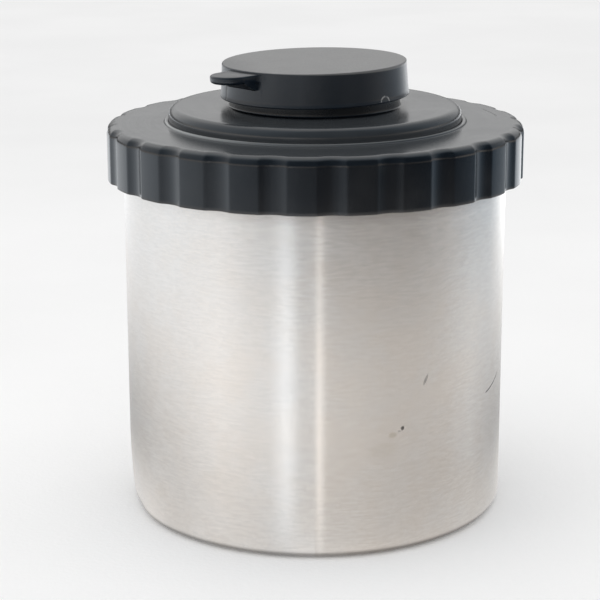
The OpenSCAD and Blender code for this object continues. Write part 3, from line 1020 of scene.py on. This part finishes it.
@dataclass
class PourCap:
    """The soft cap over the neck, with its pull tab."""

    seat: Seat
    radius: float = 21.35
    side_r: float = 21.2
    top_r: float = 20.8
    inner: float = 19.35
    top: float = 102.75
    under: float = 100.95
    low: float = 95.15
    rim_round: float = 0.3
    rim_support: float = 0.75
    draft: float = 0.03
    hem: float = 0.3
    hem_slope: float = 0.1
    hem_round: float = 0.12
    steps: int = 288
    tab_angle: float = -138.5
    tab_end: float = 28.75
    tab_w: float = 9.3
    tab_t: float = 1.75
    tab_drop: float = 0.45
    tab_sides: int = 64
    tab_top_round: float = 0.45
    tab_top_segments: int = 4
    tab_low_round: float = 0.75
    tab_low_segments: int = 5
    tab_root_gap: float = 0.1
    flares: tuple[tuple[float, float], ...] = (
        (19.55, 1.42), (19.95, 1.27), (20.35, 1.15), (20.9, 1.06), (21.6, 1.02),
    )
    flare_band: float = 0.8
    wedge_h: float = 1.7
    wedge_reach: float = 3.2
    wedge_sink: float = 0.3
    wedge_toe: float = 0.02
    wedge_taper: float = 0.97

    def build(self, rubber: bpy.types.Material) -> bpy.types.Object:
        """Makes the cap, joins its tab and dresses it."""
        corners = [
            Corner(0, self.under),
            Corner(self.inner, self.under, Edge.SOFT),
            Corner(self.inner, self.low, Edge.CRISP),
            Corner(self.radius - self.hem_slope, self.low, self.hem_round),
            Corner(self.radius, self.low + self.hem, self.hem_round),
            Corner(self.side_r, self.low + 3 * self.hem, Edge.CRISP),
            Corner(self.top_r + self.draft, self.top - self.rim_support),
            Corner(self.top_r, self.top, self.rim_round),
            Corner(self.top_r - self.rim_support, self.top),
            Corner(0, self.top),
        ]
        cap = turned("pour_cap_moulding", corners, self.steps).finish(rubber)
        cap = united(cap, self.tab(rubber))
        deselect()
        cap.select_set(True)
        bpy.context.view_layer.objects.active = cap
        bpy.ops.object.shade_smooth_by_angle(angle=SMOOTH_ANGLE)
        self.seat.settle(cap)
        hand_over(cap, "pour_cap", ["pour_cap"])
        return cap

    def tab(self, rubber: bpy.types.Material) -> bpy.types.Object:
        """Makes the tab with its round end and the wedge under its root."""
        top = self.top - self.tab_drop
        low = top - self.tab_t
        half = self.tab_w / 2
        root = self.flares[0][0]
        end = self.tab_end - half
        piece = Workpiece("pull_tab", bpy.ops.mesh.primitive_cylinder_add, vertices=self.tab_sides,
                          radius=half * MM, depth=self.tab_t * MM,
                          location=(end * MM, 0, (top + low) / 2 * MM))
        piece.pick(Pick.VERTS, lambda p: p.x < end - NEAR_MM)
        bpy.ops.transform.resize(value=(0, 1, 1), center_override=(root * MM, 0, 0))
        for level, rounding, segments in ((top, self.tab_top_round, self.tab_top_segments),
                                          (low, self.tab_low_round, self.tab_low_segments)):
            piece.pick(Pick.EDGES, lambda p: abs(p.z - level) < NEAR_MM and p.x > root + self.tab_root_gap)
            bpy.ops.mesh.bevel(offset=rounding * MM, segments=segments)
        self.flare(piece, half)
        tab = united(piece.finish(rubber), self.wedge(root, low, rubber))
        tab.data.transform(Matrix.Rotation(math.radians(self.tab_angle), 4, "Z"))
        return tab

    def flare(self, piece: Workpiece, half: float) -> None:
        """Widens the tab in a hollow curve where it leaves the cap's rim."""
        for reach, _width in self.flares[1:]:
            bpy.ops.mesh.select_all(action="SELECT")
            bpy.ops.mesh.bisect(plane_co=(reach * MM, 0, 0), plane_no=(1, 0, 0))
        for reach, width in self.flares:
            piece.pick(Pick.VERTS, lambda p: abs(p.x - reach) < NEAR_MM and abs(p.y) > half - self.flare_band)
            bpy.ops.transform.resize(value=(1, width, 1), center_override=(0, 0, 0))

    def wedge(self, root: float, low: float, rubber: bpy.types.Material) -> bpy.types.Object:
        """Makes the wedge between the tab's underside and the cap's side."""
        reach = self.radius + self.wedge_reach
        middle = ((root + reach) / 2, 0, low - self.wedge_h / 2 + self.wedge_sink)
        piece = Workpiece("tab_wedge", bpy.ops.mesh.primitive_cube_add, size=MM,
                          location=tuple(c * MM for c in middle),
                          scale=(reach - root, self.tab_w, self.wedge_h + 2 * self.wedge_sink))
        piece.pick(Pick.VERTS, lambda p: p.z < low and p.x > reach - NEAR_MM)
        bpy.ops.transform.translate(value=((self.wedge_toe - self.wedge_reach) * MM, 0, 0))
        piece.pick(Pick.VERTS, lambda p: p.z < low)
        bpy.ops.transform.resize(value=(1, self.wedge_taper, 1), center_override=(0, 0, 0))
        return piece.finish(rubber)


def united(main: bpy.types.Object, other: bpy.types.Object) -> bpy.types.Object:
    """Melts one piece into another, and removes the second object."""
    deselect()
    main.select_set(True)
    bpy.context.view_layer.objects.active = main
    modifier = main.modifiers.new("union", "BOOLEAN")
    modifier.operation = "UNION"
    modifier.solver = "EXACT"
    modifier.object = other
    bpy.ops.object.modifier_apply(modifier=modifier.name)
    bpy.data.objects.remove(other)
    return main


@dataclass
class Reels:
    """The finish of the film reels, whose frame nodes already have their true shape."""

    names: tuple[str, ...] = ("lower_reel", "upper_reel")

    def dress(self, wire: bpy.types.Material, clip: bpy.types.Material) -> None:
        """Puts the wire finish on each wire and the strip finish on each clip."""
        for name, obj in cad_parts.items():
            if name.startswith(self.names):
                obj.data.materials.clear()
                obj.data.materials.append(clip if name.endswith("film_clip") else wire)
                log.info("%s keeps its frame mesh", name)


class Glow(NamedTuple):
    """What shiny surfaces mirror on one bearing in degrees: 0 to the camera and 90 to its right."""

    bearing: float
    level: float
    warmth: float = 0.0


CLOTH_GLOW = (
    Glow(0, 1.2, 0.02), Glow(1.4, 1.46, 0.03), Glow(2.8, 1.78, 0.03), Glow(4.2, 1.4, 0.03),
    Glow(7, 1.04, 0.04), Glow(22, 0.99, 0.04), Glow(43, 0.88, 0.045), Glow(86, 0.77, 0.04),
    Glow(110, 0.83, 0.02), Glow(130, 0.7, 0.01), Glow(155, 0.62), Glow(205, 0.66),
    Glow(233, 0.76), Glow(269, 0.93, 0.015), Glow(300, 1.23, 0.02), Glow(320, 1.19, 0.02),
    Glow(333, 1.22), Glow(339, 1.46, -0.02), Glow(343, 1.66, -0.03), Glow(347, 1.46, -0.02),
    Glow(351.5, 1.15), Glow(357.6, 1.11, 0.01),
)
FOOT_GLOW = (
    Glow(0, 1.22, 0.02), Glow(2.8, 1.42, 0.02), Glow(7, 1.2, 0.03), Glow(22, 1.16, 0.04),
    Glow(43, 1.06, 0.04), Glow(86, 1.0, 0.03), Glow(110, 1.03, 0.02), Glow(155, 1.05, 0.01),
    Glow(205, 1.2, 0.01), Glow(233, 1.32, 0.01), Glow(269, 1.14, 0.01), Glow(300, 1.26, 0.01),
    Glow(333, 1.22), Glow(343, 1.28, -0.01), Glow(352, 1.4),
)
LOW_SKY_GLOW = (
    Glow(0, 0.6, 0.1), Glow(2.8, 1.8, 0.1), Glow(6, 0.6, 0.1), Glow(15, 0.45, 0.1),
    Glow(60, 0.55, 0.12), Glow(85, 1.3, 0.12), Glow(105, 1.2, 0.08), Glow(128, 0.25), Glow(165, 0.1),
    Glow(195, 0.1), Glow(228, 0.2, 0.05), Glow(250, 0.9, 0.1), Glow(284, 1.5, 0.12), Glow(305, 1.8, 0.12),
    Glow(332, 1.2, 0.1), Glow(339, 1.8, 0.06), Glow(343, 2.3, 0.02), Glow(347, 1.8, 0.04),
    Glow(352, 0.9, 0.1),
)
SKY_GLOW = (
    Glow(0, 0.2, -0.3), Glow(60, 0.1, -0.36), Glow(85, 0.2, -0.34), Glow(100, 0.45, -0.22),
    Glow(140, 0.72, -0.04), Glow(165, 0.93), Glow(195, 1.0), Glow(215, 1.22), Glow(240, 1.0, -0.05),
    Glow(270, 0.78, -0.1), Glow(295, 0.64, -0.16), Glow(320, 0.42, -0.22), Glow(345, 0.2, -0.28),
)
ROOM_GLOW = (
    Glow(0, 0.18, -0.26), Glow(20, 0.045, -0.3), Glow(50, 0.05, -0.4), Glow(76, 0.13, -0.42),
    Glow(100, 0.42, -0.3), Glow(125, 0.88, -0.12), Glow(155, 2.3, -0.02), Glow(180, 1.2),
    Glow(230, 1.4, -0.05), Glow(270, 1.42, -0.1), Glow(295, 1.06, -0.12), Glow(320, 0.66, -0.15),
    Glow(352, 0.22, -0.2),
)


def glow(graph: Graph, angle: Wire, glows: Sequence[Glow]) -> Wire:
    """Gives the colour mirrored at a bearing, which is in turns."""
    stops = [(g.bearing / 360, grey(g.level, g.warmth)) for g in glows]
    return graph.add("ValToRGB", {"stops": stops}, {"Fac": angle})


@dataclass
class Studio:
    """The camera, the pale cloth, the soft light and what shiny surfaces mirror.

    Distances on the cloth are in metres from the middle of the object.
    """

    camera_place: tuple[float, float, float] = (0.0, -427.96, 163.66)
    tilt_down: float = 15.27
    pan: float = -0.455
    roll: float = -0.15
    focal_px: float = 1904.9
    picture_px: int = 600
    sensor: float = 36.0
    clip: tuple[float, float] = (0.01, 50.0)
    floor_r: float = 3.0
    floor_sides: int = 64
    floor_level: float = 0.92
    fold_lift: float = 1.03
    folds_per_m: float = 9.0
    fold_span: Span = (0.3, 0.7)
    weave_per_m: float = 900.0
    weave_share: float = 0.1
    cloth_bump: tuple[float, float] = (0.15, 6.0)
    # painted light: the cloth darkens with distance from the object, as the light falls off
    far_painted_level: float = 0.92
    # painted light: the cloth is lighter close to the object, which weakens the object's shadow there
    near_painted_light: Span = (0.05, 0.16)
    near_painted_light_lift: float = 1.075
    backdrop_level: float = 0.86
    sky_level: float = 1.0
    cloth_end: Span = (0.29, 0.36)
    foot_glow: Ramp = (0.06, 0.26, 0.79, 1.55)
    foot_fade: Span = (0.047, 0.09)
    # painted contact shadow in what shiny surfaces mirror of the cloth, right at the cup's foot
    mirrored_contact_shadow: Ramp = (0.0428, 0.0442, 0.35, 1.0)
    foot_r: float = 0.0435
    half_turn: tuple[float, float] = (-0.5, 0.4999)
    skyline: Span = (0.06, 0.14)
    painted_falloff_span: Span = (0.08, 0.5)
    lamp_place: tuple[float, float, float] = (-1.3, -0.5, 1.3)
    lamp_aim: tuple[float, float, float] = (0.0, 0.0, 0.05)
    lamp_size: float = 1.2
    lamp_watts: float = 1.5

    def build(self) -> None:
        """Sets up everything that isn't part of the object."""
        self.camera()
        self.floor()
        self.world()
        self.lamps()
        bpy.context.scene.view_settings.view_transform = "Standard"

    def camera(self) -> None:
        """Places the camera where the photograph was taken from."""
        pan, tilt, roll = (math.radians(a) for a in (self.pan, self.tilt_down, self.roll))
        forward = Vector((math.sin(pan) * math.cos(tilt), math.cos(pan) * math.cos(tilt), -math.sin(tilt)))
        right = forward.cross(Vector((0, 0, 1))).normalized()
        up = right.cross(forward)
        right, up = (math.cos(roll) * right + math.sin(roll) * up,
                     math.cos(roll) * up - math.sin(roll) * right)
        data = bpy.data.cameras.new("camera")
        data.sensor_width = self.sensor
        data.lens = self.focal_px / self.picture_px * self.sensor
        data.clip_start, data.clip_end = self.clip
        obj = bpy.data.objects.new("camera", data)
        obj.matrix_world = Matrix.Translation(Vector(self.camera_place) * MM) @ Matrix(
            (right, up, -forward)).transposed().to_4x4()
        bpy.context.scene.collection.objects.link(obj)
        bpy.context.scene.camera = obj

    def floor(self) -> None:
        """Lays the pale cloth that the object stands on."""
        material, graph = new_material("pale_cloth")
        point, x, y, _z = graph.place()
        folds = graph.noise(point, self.folds_per_m, detail=3.0)
        weave = graph.noise(point, self.weave_per_m)
        away = distance(x, y)
        level = graph.blend(folds.step(*self.fold_span), grey(self.floor_level),
                            grey(self.floor_level * self.fold_lift))
        # painted falloff of the light: lighter near the object, darker far off
        far = graph.blend(away.step(*self.painted_falloff_span), grey(1.0), grey(self.far_painted_level))
        # painted light close to the object, weakening its shadow on the cloth
        near_painted_light = graph.blend(away.step(*self.near_painted_light), grey(self.near_painted_light_lift), grey(1.0))
        level = graph.multiply(graph.multiply(level, far), near_painted_light)
        height = folds * (1 - self.weave_share) + weave * self.weave_share
        normal = graph.bump(height, *self.cloth_bump)
        cloth = graph.add("BsdfDiffuse", None, {"Color": level, "Normal": normal})
        angle = self.bearing(graph, x, y)
        beyond = away.step(*self.cloth_end)
        wall = self.mirror_bearing(graph, angle, away)
        near = graph.blend(away.step(*self.foot_fade), glow(graph, wall, FOOT_GLOW),
                           glow(graph, wall, CLOTH_GLOW))
        near = graph.multiply(near, away.step(*self.foot_glow))
        seen = graph.blend(beyond, near, glow(graph, angle, ROOM_GLOW))
        # the glow that shiny surfaces mirror is darkened at the foot by a painted contact shadow
        mirrored = graph.add("Emission", None, {"Color": seen, "Strength": away.step(*self.mirrored_contact_shadow)})
        rays = graph.add("LightPath")
        shader = graph.add("MixShader", None, {
            "Fac": rays.output("Is Glossy Ray"), 1: cloth, 2: mirrored})
        graph.add("OutputMaterial", None, {"Surface": shader})
        piece = Workpiece("floor", bpy.ops.mesh.primitive_circle_add, vertices=self.floor_sides,
                          radius=self.floor_r, fill_type="NGON")
        piece.finish(material)

    def world(self) -> None:
        """Makes the even studio light, and the room that shiny surfaces mirror."""
        world = bpy.data.worlds.new("studio")
        world.use_nodes = True
        bpy.context.scene.world = world
        graph = Graph(world.node_tree)
        direction = graph.add("TexCoord").output("Generated")
        x = graph.add("SeparateXYZ", None, {"Vector": direction})
        rays = graph.add("LightPath")
        light = graph.add("Background", None, {"Color": grey(self.sky_level), "Strength": 1.0})
        wall = graph.add("Background", None, {"Color": grey(self.backdrop_level), "Strength": 1.0})
        angle = self.bearing(graph, x, x.output("Y"))
        height = x.output("Z").step(*self.skyline)
        mirrored = graph.blend(height, glow(graph, angle, LOW_SKY_GLOW), glow(graph, angle, SKY_GLOW))
        room = graph.add("Background", None, {"Color": mirrored})
        seen = graph.add("MixShader", None, {"Fac": rays.output("Is Glossy Ray"), 1: light, 2: room})
        seen = graph.add("MixShader", None, {"Fac": rays.output("Is Camera Ray"), 1: seen, 2: wall})
        graph.add("OutputWorld", None, {"Surface": seen})

    @staticmethod
    def bearing(graph: Graph, x: Wire, y: Wire) -> Wire:
        """Gives the bearing in turns: 0 to the camera, 0.25 to its right, 0.5 away and 0.75 to its left."""
        angle = graph.turn_of(x, y * -1) / TURN
        return graph.add("Math", {"operation": "FRACT"}, {0: angle + 1.0})

    def mirror_bearing(self, graph: Graph, angle: Wire, away: Wire) -> Wire:
        """Gives the bearing in which the cup's wall mirrors a point of the cloth.

        Close to the foot that bearing is up to twice the point's own, because the ray starts at the wall.
        """
        wrapped = graph.add("Math", {"operation": "FRACT"}, {0: angle + 0.5}) - 0.5
        wider = wrapped * (away * 2.0) / (away * 2.0 - self.foot_r)
        low, high = self.half_turn
        near = graph.add("Clamp", None, {"Value": wider, "Min": low, "Max": high})
        return graph.add("Math", {"operation": "FRACT"}, {0: near + 1.0})

    def lamps(self) -> None:
        """Hangs one large soft lamp at the left and above."""
        data = bpy.data.lights.new("window", "AREA")
        data.shape = "RECTANGLE"
        data.size = data.size_y = self.lamp_size
        data.energy = self.lamp_watts
        obj = bpy.data.objects.new("window", data)
        place = Vector(self.lamp_place)
        obj.location = place
        obj.rotation_euler = (Vector(self.lamp_aim) - place).to_track_quat("-Z", "Y").to_euler()
        obj.visible_camera = False
        obj.visible_glossy = False
        bpy.context.scene.collection.objects.link(obj)


def main() -> None:
    """Builds the studio and the object."""
    logging.basicConfig(level=logging.INFO, format="%(message)s")
    Studio().build()
    plastic = MouldedPlastic().build()
    TankCup().build(BrushedSteel())
    lid = Lid(Seat(tilt_x=-0.35, shift=(0.15, 0.0, 0.0), pivot_z=88.0),
              Seat(tilt_x=-0.1, shift=(0.1, 0.0, 0.0), pivot_z=88.0))
    lid.build(plastic)
    cap = PourCap(Seat(tilt_x=0.3, tilt_y=-1.0, shift=(0.0, 0.0, 0.05), pivot_z=99.0))
    cap.build(SoftRubber().build())
    Reels().dress(DrawnWire().build(), DrawnWire("spring_strip", 0.58, 0.3).build())


if __name__ == "__main__":
    main()
